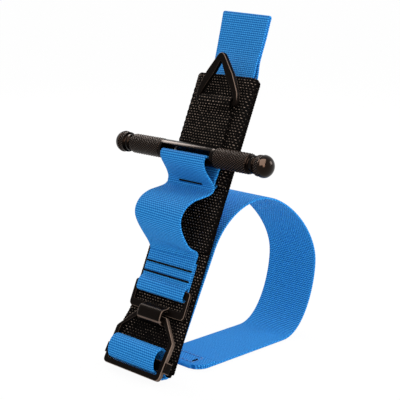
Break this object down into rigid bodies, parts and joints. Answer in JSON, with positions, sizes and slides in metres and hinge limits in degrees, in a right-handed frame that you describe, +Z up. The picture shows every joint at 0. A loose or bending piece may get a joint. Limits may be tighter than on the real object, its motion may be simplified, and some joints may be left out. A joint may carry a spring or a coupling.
{
  "type": "windlass strap tensioner",
  "caption": "Webbing strap with a slotted knurled windlass rod, triangular locking ring, sewn base sleeve and a hook-on slide-bar buckle, standing on its own open loop.",
  "frame": {"origin": "middle of the part's footprint, on the floor", "axes": "+X across the strap along the windlass rod, +Y from the front of the base to the back of the ring, +Z up"},
  "size_m": [0.123, 0.1362, 0.1986],
  "materials": {
    "base_webbing": "coarse woven black nylon",
    "keeper_webbing": "fine woven black nylon",
    "strap_webbing": "close woven blue nylon",
    "thread": "twisted black thread",
    "rod_metal": "black anodised, knurled grips",
    "blackened_steel": "satin black with worn edges"
  },
  "bodies": {
    "base": {"backing_webbing": "base_webbing", "face_webbing_upper": "base_webbing", "face_webbing_lower": "base_webbing", "top_hem": "base_webbing", "bottom_hem": "base_webbing", "edge_stitches": "thread", "tri_ring_keeper": "keeper_webbing", "keeper_stitches": "thread", "hook_strap_loop": "strap_webbing", "tension_strap_front": "strap_webbing", "tension_strap_back": "strap_webbing", "sleeve_strap": "strap_webbing", "tail_fold": "strap_webbing", "back_strap": "strap_webbing", "end_turn": "strap_webbing", "running_loop": "strap_webbing", "running_end_hem": "strap_webbing", "anchor_stitches": "thread", "running_end_stitches": "thread"},
    "band_waist": {"windlass_band_front": "strap_webbing", "windlass_band_back": "strap_webbing", "waist_stitch": "thread"},
    "windlass": {"windlass_rod": "rod_metal", "windlass_strap_turn": "strap_webbing"},
    "tri_ring": {"tri_ring": "blackened_steel"},
    "hook_plate": {"hook_plate": "blackened_steel"},
    "buckle": {"buckle_frame": "blackened_steel", "buckle_wrap": "strap_webbing"},
    "slide_bar": {"slide_bar": "blackened_steel"}
  },
  "joints": [
    {"name": "windlass_lift", "type": "slide", "parent": "base", "child": "band_waist", "axis": [0, -0.915, 0.4035], "range_m": [0, 0.024], "deforming": ["tension_strap_front", "tension_strap_back", "windlass_band_front", "windlass_band_back"]},
    {"name": "windlass_turn", "type": "hinge", "parent": "band_waist", "child": "windlass", "pos_m": [0, -0.01917, 0.12173], "axis": [0, -0.915, 0.4035], "range_deg": [0, 180], "deforming": ["windlass_band_front", "windlass_band_back", "tension_strap_front", "tension_strap_back", "windlass_strap_turn"]},
    {"name": "tri_ring_swing", "type": "hinge", "parent": "base", "child": "tri_ring", "pos_m": [0.0025, -0.00023, 0.14977], "axis": [1, 0, 0], "range_deg": [-11, 114]},
    {"name": "hook_swing", "type": "hinge", "parent": "base", "child": "hook_plate", "pos_m": [0, -0.04152, 0.04579], "axis": [-1, 0, 0], "range_deg": [0, 20], "deforming": ["hook_strap_loop", "buckle_wrap"]},
    {"name": "buckle_swing", "type": "hinge", "parent": "hook_plate", "child": "buckle", "pos_m": [0, -0.04956, 0.03152], "axis": [-1, 0, 0], "range_deg": [0, 20], "deforming": ["buckle_wrap"]},
    {"name": "slide_bar_slide", "type": "slide", "parent": "buckle", "child": "slide_bar", "axis": [0, 0.518, 0.8554], "range_m": [0, 0.003]}
  ],
  "couplings": [
    {"joint": "windlass_lift", "follows": "windlass_turn", "m_per_rad": 0.0076394}
  ]
}
